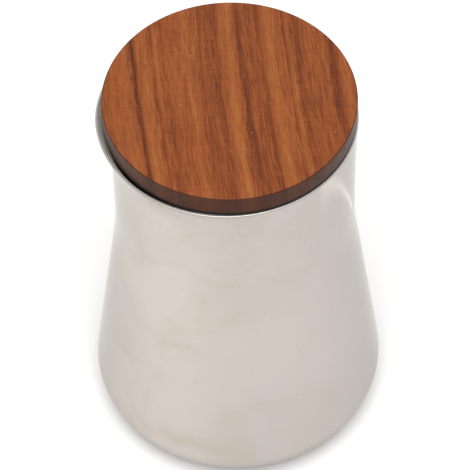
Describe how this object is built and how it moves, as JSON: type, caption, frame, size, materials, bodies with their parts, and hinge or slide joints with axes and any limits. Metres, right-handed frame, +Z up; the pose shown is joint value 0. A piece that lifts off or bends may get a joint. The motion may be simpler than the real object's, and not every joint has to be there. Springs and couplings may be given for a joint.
{
  "type": "coffee pot",
  "caption": "Waisted stainless-steel coffee pot with a low round belly, a small drawn pouring lip, a sandwich base and a loose flat wooden lid with a finned ring.",
  "frame": {"origin": "on the pot's axis, in the plane that the base cap stands on", "axes": "+Z up along the pot's axis, the pouring lip towards -X, +Y across"},
  "size_m": [0.0856, 0.0856, 0.129],
  "materials": {
    "shell_steel": "satin polished inside and out, with faint cloudy marks",
    "core_aluminium": "rolled sheet",
    "cap_steel": "turned, fine rings",
    "lid_wood": "oiled striped red-brown hardwood",
    "plug_wood": "turned, oiled hardwood",
    "ring_rubber": "matte black silicone",
    "screw_steel": "plain stainless"
  },
  "bodies": {
    "pot": {"pot_body": "shell_steel", "base_core": "core_aluminium", "base_cap": "cap_steel"},
    "lid": {"lid_disc": "lid_wood", "lid_plug": "plug_wood", "lid_ring": "ring_rubber", "lid_screw_1": "screw_steel", "lid_screw_2": "screw_steel", "lid_screw_3": "screw_steel"}
  },
  "joints": [
    {"name": "lid_lift", "type": "slide", "parent": "pot", "child": "lid", "axis": [0, 0, 1], "range_m": [0, 0.045]}
  ]
}
